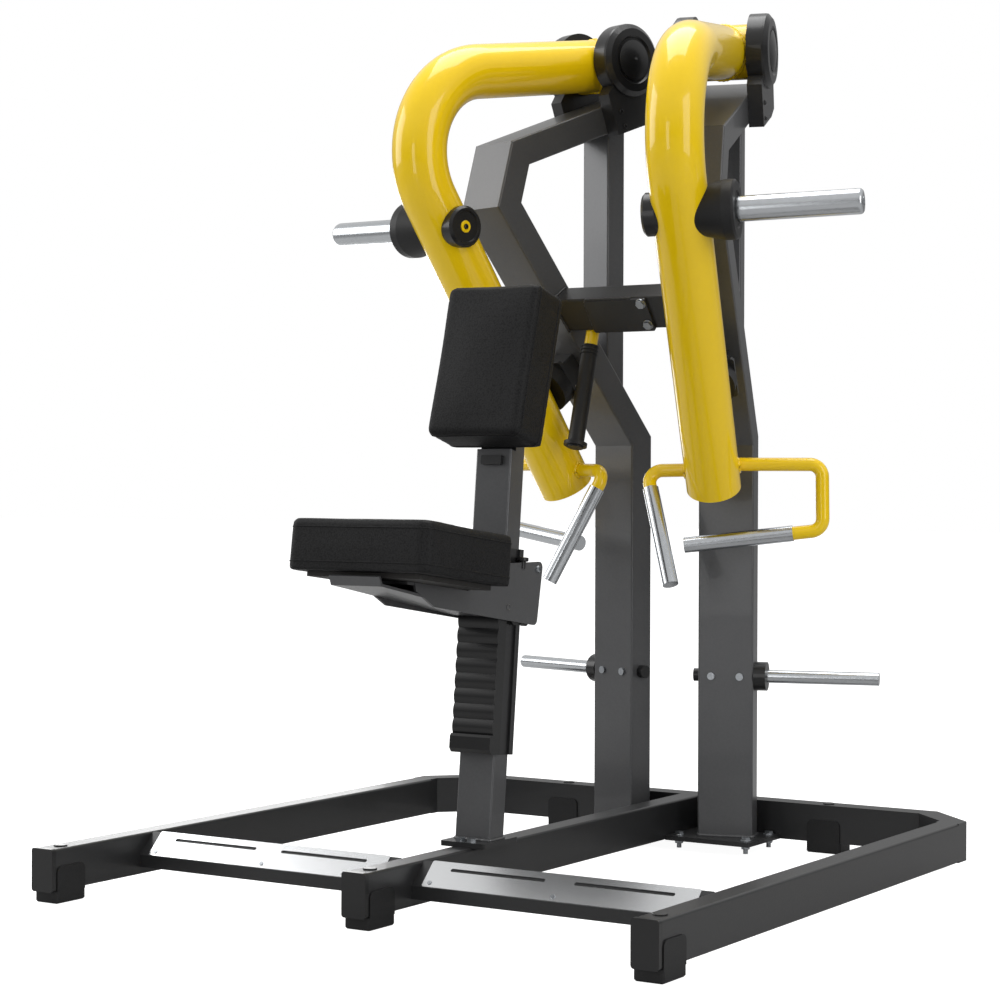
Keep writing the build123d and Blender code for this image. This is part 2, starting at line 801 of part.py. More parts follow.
with BuildPart() as chest_pad:
    with BuildSketch(chest_plane):
        RectangleRounded(chest_width, chest_height, 14)
    extrude(amount=chest_thickness)
    fillet(chest_pad.faces().sort_by(Axis((0, 0, 0), chest_out))[-1].edges(), radius=12)
finish(chest_pad, "chest_pad")

# Toothed rack on the front of the post, closed at its foot by a clip
ridge_count = rack_length // rack_pitch
rack_plane = Plane(origin=post_frame.from_local_coords((0, 0, rack_low)), x_dir=post_frame.y_dir,
                   z_dir=(1, 0, 0))
with BuildPart() as height_rack:
    with BuildSketch(rack_plane.offset(-46)):
        with BuildLine():
            Polyline((-rack_depth + ridge_relief, ridge_count * rack_pitch), (8, ridge_count * rack_pitch),
                     (8, -36), (-rack_depth + 1, -36), (-rack_depth - 6, -28), (-rack_depth - 6, -5),
                     (-rack_depth - 2, 0), (-rack_depth + ridge_relief, 0))
            for ridge in range(ridge_count):
                low = ridge * rack_pitch
                ThreePointArc((-rack_depth + ridge_relief, low), (-rack_depth, low + rack_pitch / 2),
                              (-rack_depth + ridge_relief, low + rack_pitch))
        make_face()
    extrude(amount=92)
    with BuildSketch(post_frame):
        with Locations((0, post_depth / 2)):
            Rectangle(post_width, post_depth)
    extrude(amount=900, mode=Mode.SUBTRACT)
finish(height_rack, "height_rack")

# Guide strips for the rollers, along the back edge of the post's sides
strip_length = 395
backing_front = 8.2
backing_sheet = 1.6
strip_back = post_depth + 6
with BuildPart() as guide_rails:
    with BuildSketch(post_frame.offset(rack_low - 36)):
        with Locations((post_width / 2 + 3, strip_back - strip_width / 2)):
            Rectangle(6, strip_width)
        with Locations((post_width / 2 + 1, (strip_back - strip_width + backing_front) / 2)):
            Rectangle(backing_sheet, strip_back - strip_width - backing_front)
    extrude(amount=strip_length)
    mirror(about=Plane.YZ)
finish(guide_rails, "guide_rails")

# Seat carriage: two side plates joined under the pad
seat_frame = Plane(origin=(0, seat_centre_y, seat_bottom), x_dir=(1, 0, 0),
                   z_dir=(0, sin(seat_tilt), cos(seat_tilt)))


def under_pad(y, gap):
    """Height below the pad's underside at a place along the machine."""
    return seat_bottom - (y - seat_centre_y) * tan(seat_tilt) - gap


plate_gap = board_thickness + 0.6
side_outline = [
    (front_y + 210, under_pad(front_y + 210, plate_gap)),
    (front_y + 392, under_pad(front_y + 392, plate_gap)),
    (front_y + 440, 641),
    (front_y + 652, 641),
    (front_y + 628, 517),
    (front_y + 275, 568),
    (front_y + 214, 600),
]
tray_points = [(front_y + 100, under_pad(front_y + 100, plate_gap)), (front_y + 107, 612),
               (front_y + 486, 541)]
with BuildPart() as carriage_frame:
    with BuildSketch(Plane.YZ.offset(carriage_half - carriage_sheet)):
        with BuildLine():
            Polyline(*side_outline, close=True)
        side_face = make_face()
        fillet(side_face.vertices().sort_by(Axis.X)[-2:], radius=12)
        with Locations((front_y + 580, 640)):
            Rectangle(12, 16, mode=Mode.SUBTRACT)
        with Locations((front_y + 525, 557), (front_y + 631, 627)):
            Circle(4, mode=Mode.SUBTRACT)
    extrude(amount=carriage_sheet)
    mirror(about=Plane.YZ)
    with BuildSketch(seat_frame.offset(-plate_gap)):
        with Locations((0, 46)):
            Rectangle(2 * carriage_half - 2, 200)
    extrude(amount=-5)
    with BuildSketch(Plane.YZ.offset(-carriage_half + 1)):
        with BuildLine():
            Polyline(*band(tray_points, carriage_sheet), close=True)
        make_face()
    extrude(amount=2 * carriage_half - 2)
finish(carriage_frame, "carriage_frame")

strip_front = strip_back - strip_width
front_roller = strip_front - roller_radius - 0.3
back_roller = strip_back + roller_radius + 0.3
with BuildPart() as carriage_rollers:
    for y, z in ((front_roller, 425), (front_roller, 515), (back_roller, 425), (back_roller, 515)):
        spot = post_frame.from_local_coords((0, y, z))
        with BuildSketch(Plane.YZ.offset(post_width / 2 + 2)):
            with Locations((spot.Y, spot.Z)):
                Circle(roller_radius)
        extrude(amount=carriage_half - carriage_sheet - post_width / 2 - 2)
    mirror(about=Plane.YZ)
finish(carriage_rollers, "carriage_rollers")

with BuildPart() as seat_board:
    with BuildSketch(seat_frame.offset(-board_thickness - 0.4)):
        RectangleRounded(seat_width - 56, seat_length - 50, 12)
    extrude(amount=board_thickness)
finish(seat_board, "seat_board")

with BuildPart() as seat_pad:
    with BuildSketch(seat_frame):
        seat_face = Rectangle(seat_width, seat_length)
        chamfer(seat_face.vertices(), length=seat_corner)
    extrude(amount=seat_thickness)
    fillet(seat_pad.faces().sort_by(Axis((0, 0, 0), seat_frame.z_dir))[-1].edges(), radius=10)
finish(seat_pad, "seat_pad")

print(len(os.listdir("parts")), "parts written")
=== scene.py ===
import json
import math
import bmesh
import bpy
import numpy
from mathutils import Matrix, Vector
from mathutils.bvhtree import BVHTree


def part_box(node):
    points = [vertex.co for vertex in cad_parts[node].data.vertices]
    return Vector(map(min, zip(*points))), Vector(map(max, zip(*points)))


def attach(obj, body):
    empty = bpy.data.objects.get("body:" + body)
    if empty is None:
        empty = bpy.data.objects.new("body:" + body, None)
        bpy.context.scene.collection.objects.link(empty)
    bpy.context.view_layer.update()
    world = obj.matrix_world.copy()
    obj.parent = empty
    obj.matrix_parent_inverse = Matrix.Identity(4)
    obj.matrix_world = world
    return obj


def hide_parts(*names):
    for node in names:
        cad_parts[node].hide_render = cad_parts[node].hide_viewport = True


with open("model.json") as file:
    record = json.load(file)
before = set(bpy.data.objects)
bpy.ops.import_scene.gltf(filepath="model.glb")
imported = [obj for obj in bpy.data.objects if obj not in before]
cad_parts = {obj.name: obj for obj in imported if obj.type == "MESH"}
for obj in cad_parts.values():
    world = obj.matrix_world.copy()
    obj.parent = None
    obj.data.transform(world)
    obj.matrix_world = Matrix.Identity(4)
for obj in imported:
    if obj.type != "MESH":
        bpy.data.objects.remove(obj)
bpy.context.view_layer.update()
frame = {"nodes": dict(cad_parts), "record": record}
nodes = frame["nodes"]
record = frame["record"]
scene = bpy.context.scene
print("stage: frame loaded")

# Camera
cameraSet = {"lens": 85.48, "place": (2.47255, -4.01330, 0.80309), "azimuth": 32.467, "pitch": -0.522,
             "roll": 0.18}
camData = bpy.data.cameras.new("camera")
camData.lens = cameraSet["lens"]
camData.sensor_width = 36
camera = bpy.data.objects.new("camera", camData)
scene.collection.objects.link(camera)
turn = math.radians(cameraSet["azimuth"])
tip = math.radians(cameraSet["pitch"])
roll = math.radians(cameraSet["roll"])
look = Vector((-math.sin(turn) * math.cos(tip), math.cos(turn) * math.cos(tip), math.sin(tip)))
level = look.cross(Vector((0, 0, 1))).normalized()
lift = level.cross(look)
camRight = level * math.cos(roll) + lift * math.sin(roll)
camUp = lift * math.cos(roll) - level * math.sin(roll)
aimed = Matrix((camRight, camUp, -look)).transposed().to_4x4()
camera.matrix_world = Matrix.Translation(cameraSet["place"]) @ aimed
scene.camera = camera
scene.view_settings.view_transform = "Standard"

# Finishes. base and dark are the two tones that the grain mixes; bump is the grain's height, shine the strength
# of plain reflections.
finishes = {
    "framePaint": {"base": (0.105, 0.106, 0.109), "dark": (0.085, 0.086, 0.089), "metal": 0.45, "rough": 0.37,
                   "spread": 0.14, "bump": 0.10, "grain": "coatGrain", "scale": 520.0, "coat": 0.12},
    "basePaint": {"base": (0.020, 0.0202, 0.021), "dark": (0.014, 0.0142, 0.015), "metal": 0.1, "rough": 0.40,
                  "spread": 0.16, "bump": 0.12, "grain": "coatGrain", "scale": 520.0, "coat": 0.10},
    "armPaint": {"base": (0.93, 0.63, 0.002), "dark": (0.89, 0.59, 0.0015), "metal": 0.0, "rough": 0.30,
                 "spread": 0.06, "bump": 0.015,
                 "grain": "coatGrain", "scale": 240.0, "coat": 0.75, "shine": 0.2},
    "chromeBar": {"base": (0.58, 0.60, 0.62), "dark": (0.50, 0.52, 0.54), "metal": 1.0, "rough": 0.22,
                  "spread": 0.06, "bump": 0.004, "grain": "coatGrain", "scale": 300.0, "coat": 0.0},
    "treadSteel": {"base": (0.76, 0.77, 0.78), "dark": (0.71, 0.72, 0.73), "metal": 1.0, "rough": 0.22,
                   "spread": 0.05, "bump": 0.012, "grain": "brushGrain", "scale": 60.0, "coat": 0.0},
    "zincPlate": {"base": (0.42, 0.44, 0.46), "dark": (0.28, 0.30, 0.32), "metal": 1.0, "rough": 0.32,
                  "spread": 0.2, "bump": 0.08, "grain": "coatGrain", "scale": 900.0, "coat": 0.0},
    "padVinyl": {"base": (0.013, 0.013, 0.0135), "dark": (0.004, 0.004, 0.0043), "metal": 0.0, "rough": 0.60,
                 "spread": 0.16, "bump": 0.6, "shine": 0.18,
                 "grain": "pebbleGrain", "scale": 420.0, "coat": 0.0},
    "rubberBlack": {"base": (0.011, 0.011, 0.0115), "dark": (0.006, 0.006, 0.0065), "metal": 0.0, "rough": 0.50,
                    "spread": 0.16, "bump": 0.10, "shine": 0.35,
                    "grain": "pebbleGrain", "scale": 900.0, "coat": 0.0},
    "plasticBlack": {"base": (0.010, 0.010, 0.0105), "dark": (0.006, 0.006, 0.0065), "metal": 0.0, "rough": 0.34,
                     "spread": 0.12, "bump": 0.05, "shine": 0.4,
                     "grain": "coatGrain", "scale": 1100.0, "coat": 0.15},
    "boardBlack": {"base": (0.022, 0.020, 0.018), "dark": (0.012, 0.011, 0.010), "metal": 0.0, "rough": 0.62,
                   "spread": 0.18, "bump": 0.25, "grain": "brushGrain", "scale": 14.0, "coat": 0.0},
}


def newGroup(name, inputs, outputs):
    tree = bpy.data.node_groups.new(name, "ShaderNodeTree")
    for label, value in inputs:
        tree.interface.new_socket(label, in_out="INPUT", socket_type="NodeSocketFloat").default_value = value
    for label in outputs:
        tree.interface.new_socket(label, in_out="OUTPUT", socket_type="NodeSocketFloat")
    return tree, tree.nodes.new("NodeGroupInput"), tree.nodes.new("NodeGroupOutput")


def mathNode(tree, kind, first, second):
    node = tree.nodes.new("ShaderNodeMath")
    node.operation = kind
    for index, value in enumerate((first, second)):
        if isinstance(value, (int, float)):
            node.inputs[index].default_value = value
        else:
            tree.links.new(value, node.inputs[index])
    return node.outputs[0]


def noiseNode(tree, vector, scale, detail):
    node = tree.nodes.new("ShaderNodeTexNoise")
    node.inputs["Detail"].default_value = detail
    tree.links.new(vector, node.inputs["Vector"])
    if isinstance(scale, (int, float)):
        node.inputs["Scale"].default_value = scale
    else:
        tree.links.new(scale, node.inputs["Scale"])
    return node.outputs[0]


def buildGrains():
    # orange peel of a powder coat, with broad cloudy handling marks
    tree, inp, out = newGroup("coatGrain", [("Scale", 500.0), ("Cloud", 4.0)], ["Tone", "Rough", "Height"])
    place = tree.nodes.new("ShaderNodeTexCoord").outputs["Object"]
    peel = noiseNode(tree, place, inp.outputs["Scale"], 2.0)
    cloud = noiseNode(tree, place, inp.outputs["Cloud"], 5.0)
    speck = noiseNode(tree, place, mathNode(tree, "MULTIPLY", inp.outputs["Scale"], 0.35), 3.0)
    tone = mathNode(tree, "ADD", mathNode(tree, "MULTIPLY", cloud, 0.7), mathNode(tree, "MULTIPLY", speck, 0.3))
    tree.links.new(tone, out.inputs["Tone"])
    tree.links.new(mathNode(tree, "MULTIPLY", cloud, speck), out.inputs["Rough"])
    tree.links.new(peel, out.inputs["Height"])

    # fine drawn lines along X, as on brushed sheet and turned bar
    tree, inp, out = newGroup("brushGrain", [("Scale", 30.0), ("Cloud", 6.0)], ["Tone", "Rough", "Height"])
    place = tree.nodes.new("ShaderNodeTexCoord").outputs["Object"]
    stretch = tree.nodes.new("ShaderNodeMapping")
    stretch.inputs["Scale"].default_value = (1.0, 40.0, 40.0)
    tree.links.new(place, stretch.inputs["Vector"])
    lines = noiseNode(tree, stretch.outputs[0], inp.outputs["Scale"], 3.0)
    cloud = noiseNode(tree, place, inp.outputs["Cloud"], 4.0)
    tone = mathNode(tree, "ADD", mathNode(tree, "MULTIPLY", lines, 0.75), mathNode(tree, "MULTIPLY", cloud, 0.25))
    tree.links.new(tone, out.inputs["Tone"])
    blend = mathNode(tree, "ADD", mathNode(tree, "MULTIPLY", lines, 0.5), mathNode(tree, "MULTIPLY", cloud, 0.5))
    tree.links.new(blend, out.inputs["Rough"])
    tree.links.new(lines, out.inputs["Height"])

    # small raised pebbles, as on embossed vinyl and moulded rubber
    tree, inp, out = newGroup("pebbleGrain", [("Scale", 400.0), ("Cloud", 5.0)], ["Tone", "Rough", "Height"])
    place = tree.nodes.new("ShaderNodeTexCoord").outputs["Object"]
    cells = tree.nodes.new("ShaderNodeTexVoronoi")
    cells.feature = "SMOOTH_F1"
    tree.links.new(place, cells.inputs["Vector"])
    tree.links.new(inp.outputs["Scale"], cells.inputs["Scale"])
    pebble = mathNode(tree, "SUBTRACT", 1.0, cells.outputs["Distance"])
    wrinkle = noiseNode(tree, place, mathNode(tree, "MULTIPLY", inp.outputs["Scale"], 0.3), 4.0)
    cloud = noiseNode(tree, place, inp.outputs["Cloud"], 5.0)
    tree.links.new(mathNode(tree, "MULTIPLY", pebble, mathNode(tree, "ADD", cloud, 0.4)), out.inputs["Tone"])
    tree.links.new(mathNode(tree, "MULTIPLY", cloud, wrinkle), out.inputs["Rough"])
    tree.links.new(mathNode(tree, "ADD", mathNode(tree, "MULTIPLY", pebble, 0.8),
                            mathNode(tree, "MULTIPLY", wrinkle, 0.4)), out.inputs["Height"])


def buildFinish(name, look):
    material = bpy.data.materials.new(name)
    material.use_nodes = True
    tree = material.node_tree
    shader = tree.nodes["Principled BSDF"]
    grain = tree.nodes.new("ShaderNodeGroup")
    grain.node_tree = bpy.data.node_groups[look["grain"]]
    grain.inputs["Scale"].default_value = look["scale"]
    tones = tree.nodes.new("ShaderNodeValToRGB")
    tones.color_ramp.elements[0].position = 0.30
    tones.color_ramp.elements[0].color = (*look["dark"], 1)
    tones.color_ramp.elements[1].position = 0.62
    tones.color_ramp.elements[1].color = (*look["base"], 1)
    tree.links.new(grain.outputs["Tone"], tones.inputs[0])
    tree.links.new(tones.outputs[0], shader.inputs["Base Color"])
    rough = mathNode(tree, "MULTIPLY_ADD", grain.outputs["Rough"], look["spread"])
    rough.node.inputs[2].default_value = look["rough"] - look["spread"] * 0.4
    tree.links.new(rough, shader.inputs["Roughness"])
    bump = tree.nodes.new("ShaderNodeBump")
    bump.inputs["Strength"].default_value = look["bump"]
    bump.inputs["Distance"].default_value = 0.0008
    tree.links.new(grain.outputs["Height"], bump.inputs["Height"])
    tree.links.new(bump.outputs[0], shader.inputs["Normal"])
    shader.inputs["Metallic"].default_value = look["metal"]
    shader.inputs["Coat Weight"].default_value = look["coat"]
    shader.inputs["Coat Roughness"].default_value = 0.03
    shader.inputs["Specular IOR Level"].default_value = look.get("shine", 0.5)
    return material


buildGrains()
materials = {name: buildFinish(name, look) for name, look in finishes.items()}
# the finish of each slot
slotFinish = {"frame_paint": "framePaint", "base_paint": "basePaint", "yellow_paint": "armPaint",
              "tread_steel": "treadSteel", "bright_bar": "chromeBar", "zinc": "zincPlate",
              "rubber": "rubberBlack",
              "black_plastic": "plasticBlack", "pad_vinyl": "padVinyl", "board": "boardBlack"}
nodeFinish = {"guide_rails": "basePaint", "cross_beam": "basePaint", "beam_stub": "basePaint",
              "joint_plate": "basePaint", "stop_brackets": "basePaint", "pivot_brackets": "basePaint",
              "bearing_housings": "plasticBlack", "base_plates": "basePaint", "chest_bracket": "basePaint"}
for row in record["subparts"]:
    finish = nodeFinish.get(row["node"], slotFinish[row["material_slot"]])
    nodes[row["node"]].data.materials.clear()
    nodes[row["node"]].data.materials.append(materials[finish])
print("stage: finishes")


# Building blocks for the pieces made here
def addPiece(name, mesh, finish, body, smooth=True):
    piece = bpy.data.objects.new(name, mesh)
    scene.collection.objects.link(piece)
    mesh.materials.append(materials[finish])
    if smooth:
        mesh.shade_smooth()
    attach(piece, body)
    return piece


def spinShape(shape, place, axis, profile, steps=32, sides=0):
    # turns (radius, distance) points about an axis; with sides, the outline is a regular polygon
    axis = Vector(axis).normalized()
    across = axis.orthogonal().normalized()
    beyond = axis.cross(across)
    count = sides if sides else steps
    rings = []
    for radius, along in profile:
        ring = []
        for step in range(count):
            angle = 2 * math.pi * step / count
            spot = Vector(place) + axis * along + (across * math.cos(angle) + beyond * math.sin(angle)) * radius
            ring.append(shape.verts.new(spot))
        rings.append(ring)
    for low, high in zip(rings, rings[1:]):
        for step in range(count):
            after = (step + 1) % count
            shape.faces.new((low[step], low[after], high[after], high[step]))
    shape.faces.new(rings[-1])
    shape.faces.new(rings[0][::-1])


def meshFrom(shape, name, sharp=35):
    bmesh.ops.recalc_face_normals(shape, faces=shape.faces)
    for edge in shape.edges:
        if len(edge.link_faces) == 2 and edge.calc_face_angle() > math.radians(sharp):
            edge.smooth = False
    mesh = bpy.data.meshes.new(name)
    shape.to_mesh(mesh)
    shape.free()
    return mesh


def beadShape(shape, points, radius, closed, ripple):
    # a rounded cord through the points; ripple gives it the scales of a weld
    count = len(points)
    rings = []
    for index, point in enumerate(points):
        before = points[index - 1] if closed or index else point
        after = points[(index + 1) % count] if closed or index < count - 1 else point
        tangent = (after - before).normalized()
        upright = abs(tangent.z) > 0.95
        across = tangent.orthogonal().normalized() if upright else tangent.cross((0, 0, 1)).normalized()
        beyond = tangent.cross(across)
        size = radius * (1 + ripple * math.cos(index * math.pi * 0.67))
        rings.append([shape.verts.new(point + (across * math.cos(a) + beyond * math.sin(a)) * size)
                      for a in [2 * math.pi * k / 8 for k in range(8)]])
    pairs = list(zip(rings, rings[1:])) + ([(rings[-1], rings[0])] if closed else [])
    for low, high in pairs:
        for step in range(8):
            after = (step + 1) % 8
            shape.faces.new((low[step], low[after], high[after], high[step]))
    if not closed:
        shape.faces.new(rings[0][::-1])
        shape.faces.new(rings[-1])


def evenPoints(corners, gap, closed=True):
    points = []
    ends = corners[1:] + corners[:1] if closed else corners[1:]
    for start, end in zip(corners, ends):
        steps = max(1, round((end - start).length / gap))
        points += [start.lerp(end, k / steps) for k in range(steps)]
    if not closed:
        points.append(corners[-1])
    return points


def roundLoop(middle, along, over, halfAlong, halfOver, corner, steps=6):
    # rounded rectangle of points in the plane of two directions
    points = []
    for spin, (sideA, sideB) in enumerate(((1, 1), (-1, 1), (-1, -1), (1, -1))):
        centre = middle + along * sideA * (halfAlong - corner) + over * sideB * (halfOver - corner)
        for k in range(steps + 1):
            angle = math.pi / 2 * (spin + k / steps)
            points.append(centre + (along * math.cos(angle) + over * math.sin(angle)) * corner)
    return points


# Each arm swings in a plane of its own. Places in it are (forward, outward, height) from the part's centre,
# and the pivot is this far forward.
pivotForward = 0.042
arms = {}
for side, word in ((-1, "left"), (1, "right")):
    joint = next(j for j in record["behaviour"]["joints"] if j["name"] == word + "_arm_pivot")
    outward = Vector(joint["axis"]) * -side
    horn = next(m for m in record["mounts"] if m["name"] == word + "_weight_horn")
    arms[word] = {"side": side, "hub": Vector(joint["pos_m"]), "out": outward,
                  "ahead": Vector((side * abs(outward.y), -abs(outward.x), 0)),
                  "horn": Vector(horn["pos_m"]), "hornWay": Vector(horn["axis"]),
                  "hornHalf": horn["dims"]["length_mm"] / 2000}


def armPoint(word, forward, out, height):
    arm = arms[word]
    spot = arm["hub"] + arm["ahead"] * (forward - pivotForward) + arm["out"] * out
    return Vector((spot.x, spot.y, height))


# Pads: an inflated cover over each plain solid, and a piped seam round it
clothSet = {"stiffness": 20, "frames": 20}
seatTilt = math.radians(7)
chestLean = math.radians(15.7)
pads = {
    "seatCushion": {"node": "seat_pad", "body": "carriage", "up": (0, math.sin(seatTilt), math.cos(seatTilt)),
                    "voxel": 0.005, "pressure": 4.0, "cap": 0.008, "held": 0.010, "even": 40, "fill": 0.85,
                    "seams": (0.016, 0.84), "corner": 0.026, "cord": 0.0013, "clear": 0.004},
    "chestCushion": {"node": "chest_pad", "body": "frame",
                     "up": (0, -math.cos(chestLean), math.sin(chestLean)),
                     "voxel": 0.005, "pressure": 4.0, "cap": 0.006, "held": 0.010, "even": 40, "fill": 0.85,
                     "seams": (0.016, 0.85), "corner": 0.022, "cord": 0.0013, "clear": 0.004},
}


def applyLast(piece):
    bpy.context.view_layer.update()
    done = bpy.data.meshes.new_from_object(piece.evaluated_get(bpy.context.evaluated_depsgraph_get()))
    piece.modifiers.clear()
    piece.data = done


def inflate(piece, pad, up, floor):
    rest = [vertex.co.copy() for vertex in piece.data.vertices]
    held = piece.vertex_groups.new(name="held")
    for vertex in piece.data.vertices:
        if vertex.co.dot(up) < floor + pad["held"]:
            held.add([vertex.index], 1.0, "REPLACE")
    cloth = piece.modifiers.new("cloth", "CLOTH")
    cloth.settings.use_pressure = True
    cloth.settings.uniform_pressure_force = pad["pressure"]
    cloth.settings.vertex_group_mass = "held"
    cloth.settings.tension_stiffness = clothSet["stiffness"]
    cloth.settings.compression_stiffness = clothSet["stiffness"]
    cloth.settings.effector_weights.gravity = 0
    for number in range(1, clothSet["frames"] + 1):
        scene.frame_set(number)
    moved = piece.evaluated_get(bpy.context.evaluated_depsgraph_get()).data
    shifts = numpy.array([after.co - before for after, before in zip(moved.vertices, rest)])
    piece.modifiers.clear()
    # the cover is stretched foam-backed vinyl, so its small wrinkles are evened out and the crown kept
    edges = numpy.array([edge.vertices[:] for edge in piece.data.edges])
    for _ in range(pad["even"]):
        total = numpy.zeros_like(shifts)
        count = numpy.zeros((len(shifts), 1))
        for near, far in ((0, 1), (1, 0)):
            numpy.add.at(total, edges[:, near], shifts[edges[:, far]])
            numpy.add.at(count, edges[:, near], 1)
        shifts = total / count
    longest = numpy.linalg.norm(shifts, axis=1).max()
    scale = pad["cap"] / longest
    for vertex, before, shift in zip(piece.data.vertices, rest, shifts):
        vertex.co = before + Vector(shift) * scale
    scene.frame_set(1)


def makePad(name, pad):
    source = nodes[pad["node"]]
    up = Vector(pad["up"])
    heights = [vertex.co.dot(up) for vertex in source.data.vertices]
    floor, top = min(heights), max(heights)
    mesh = source.data.copy()
    mesh.materials.clear()
    piece = bpy.data.objects.new(name, mesh)
    scene.collection.objects.link(piece)
    remesh = piece.modifiers.new("remesh", "REMESH")
    remesh.mode = "VOXEL"
    remesh.voxel_size = pad["voxel"]
    soften = piece.modifiers.new("soften", "SMOOTH")
    soften.factor = 0.5
    soften.iterations = 1
    applyLast(piece)
    inflate(piece, pad, up, floor)
    finer = piece.modifiers.new("finer", "SUBSURF")
    finer.levels = 1
    applyLast(piece)
    piece.data.materials.clear()
    piece.data.materials.append(materials["padVinyl"])
    piece.data.shade_smooth()
    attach(piece, pad["body"])
    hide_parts(pad["node"])
    skin = BVHTree.FromObject(piece, bpy.context.evaluated_depsgraph_get())
    along = Vector((1, 0, 0))
    over = up.cross(along)
    spots = [vertex.co for vertex in source.data.vertices]
    spans = [(min(s.dot(way) for s in spots), max(s.dot(way) for s in spots)) for way in (along, over)]
    middle = sum(((low + high) / 2 * way for (low, high), way in zip(spans, (along, over))), Vector())
    halfAlong, halfOver = [(high - low) / 2 + pad["clear"] for low, high in spans]
    shape = bmesh.new()
    for share in pad["seams"]:
        rise = share if share < 0.1 else share * (top - floor)
        centre = middle + up * (floor + rise)
        loop = evenPoints(roundLoop(centre, along, over, halfAlong, halfOver, pad["corner"]), pad["voxel"] * 1.2)
        onSkin = [skin.find_nearest(point)[0] for point in loop]
        beadShape(shape, onSkin, pad["cord"], True, 0.0)
    addPiece(name + "Seam", meshFrom(shape, name + "Seam", 180), "padVinyl", pad["body"])


for name, pad in pads.items():
    makePad(name, pad)
    print("stage: pad", name)

# Welds: a rippled bead where one tube is joined to another
weldSet = {"size": 0.0035, "step": 0.004, "ripple": 0.16}
# half sizes of each tube, just outside its skin, and the corner of its section
tubes = {"upright": (0.0605, 0.0305), "post": (0.0405, 0.0255), "beam": (0.0402, 0.0252),
         "rearPost": (0.0252, 0.0402)}
tubeCorner = 0.004


def tubeLoop(tube, middle, along, over):
    return roundLoop(middle, along, over, *tubes[tube], tubeCorner, 2)


def weldPiece(name, loops, finish, body):
    shape = bmesh.new()
    for points, closed in loops:
        beadShape(shape, points, weldSet["size"], closed, weldSet["ripple"])
    addPiece(name, meshFrom(shape, name, 180), finish, body)


footSet = {"forward": -0.03, "height": 0.034}
footLoops = []
for word, arm in arms.items():
    middle = armPoint(word, footSet["forward"], 0, footSet["height"])
    footLoops.append((evenPoints(tubeLoop("upright", middle, arm["out"], arm["ahead"]), weldSet["step"]), True))
weldPiece("uprightWelds", footLoops, "framePaint", "frame")

crossways = Vector((1, 0, 0))
lengthways = Vector((0, 1, 0))
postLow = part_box("seat_post")[0]
postFoot = Vector((0, postLow.y + tubes["post"][1], postLow.z + 0.001))
postLoop = evenPoints(tubeLoop("post", postFoot, crossways, lengthways), weldSet["step"])
weldPiece("postWeld", [(postLoop, True)], "framePaint", "frame")

beamLow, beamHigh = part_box("cross_beam")
beamMiddle = (beamLow + beamHigh) / 2
beamUp = Vector((0, -0.6206, 0.7841))  # along the uprights' diagonal, up the beam's face
beamOver = Vector((0, -0.7841, -0.6206))
plateSet = {"back": 0.0258, "top": 0.0382, "seen": 0.112, "corner": 0.004, "proud": 0.0002, "turn": 0.034,
            "foot": -0.036}
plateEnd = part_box("joint_plate")[0].x
faceMiddle = Vector((0, beamMiddle.y, beamMiddle.z)) + beamOver * plateSet["back"]
cornerSpots = [(plateEnd + plateSet["seen"], plateSet["top"]), (plateEnd + plateSet["corner"], plateSet["top"]),
               (plateEnd - plateSet["proud"], plateSet["turn"]), (plateEnd - plateSet["proud"], plateSet["foot"])]
path = [faceMiddle + Vector((x, 0, 0)) + beamUp * u for x, u in cornerSpots]
beamLoops = [(evenPoints(path, weldSet["step"], False), False)]
for word, arm in arms.items():
    loop = []
    for point in tubeLoop("beam", Vector((0, beamMiddle.y, beamMiddle.z)), beamUp, beamOver):
        start = armPoint(word, 0, -tubes["upright"][0], point.z)
        x = start.x - (point.y - start.y) * arm["out"].y / arm["out"].x
        loop.append(Vector((x, point.y, point.z)))
    beamLoops.append((evenPoints(loop, weldSet["step"]), True))
weldPiece("beamWelds", beamLoops, "basePaint", "frame")

# Rear posts: each meets the diagonal below it and the top run above it, given as height at the centre and slope
rearPostSet = {"forward": 0.032, "ends": ((0.97308, 1.2634), (1.57979, -0.3779))}
postLoops = []
for word, arm in arms.items():
    for base, slope in rearPostSet["ends"]:
        loop = []
        for point in tubeLoop("rearPost", crossways * rearPostSet["forward"], crossways, lengthways):
            loop.append(armPoint(word, point.x, point.y, base + slope * point.x))
        postLoops.append((evenPoints(loop, weldSet["step"]), True))
weldPiece("rearPostWelds", postLoops, "framePaint", "frame")

# Arm welds: round the sleeve, and where the handle bars leave the tube. Places are (forward, height).
armSet = {"tube": 0.057, "sleeve": 0.0585, "bend": (0.6805, 1.616), "end": (0.139, 0.785), "lean": (0.838, 0.546),
          "bar": 0.0155, "roots": ((0.153, 0.8217, -1), (0.1405, 0.834, 1)), "ringSteps": 120, "barSteps": 28}


def sleeveRing(arm, run, beyond):
    ring = []
    for k in range(armSet["ringSteps"]):
        angle = 2 * math.pi * k / armSet["ringSteps"]
        rise = armSet["tube"] * math.sin(angle)
        reach = math.sqrt(armSet["sleeve"] ** 2 - rise ** 2)
        ring.append(arm["hub"] + run * reach + arm["out"] * armSet["tube"] * math.cos(angle) + beyond * rise)
    return ring


def barRing(word, forward, height, way):
    ring = []
    for k in range(armSet["barSteps"]):
        angle = 2 * math.pi * k / armSet["barSteps"]
        ahead = forward + armSet["bar"] * math.cos(angle)
        rise = height + armSet["bar"] * math.sin(angle)
        off = (ahead - armSet["end"][0]) * armSet["lean"][0] - (rise - armSet["end"][1]) * armSet["lean"][1]
        ring.append(armPoint(word, ahead, way * math.sqrt(armSet["tube"] ** 2 - off ** 2), rise))
    return ring


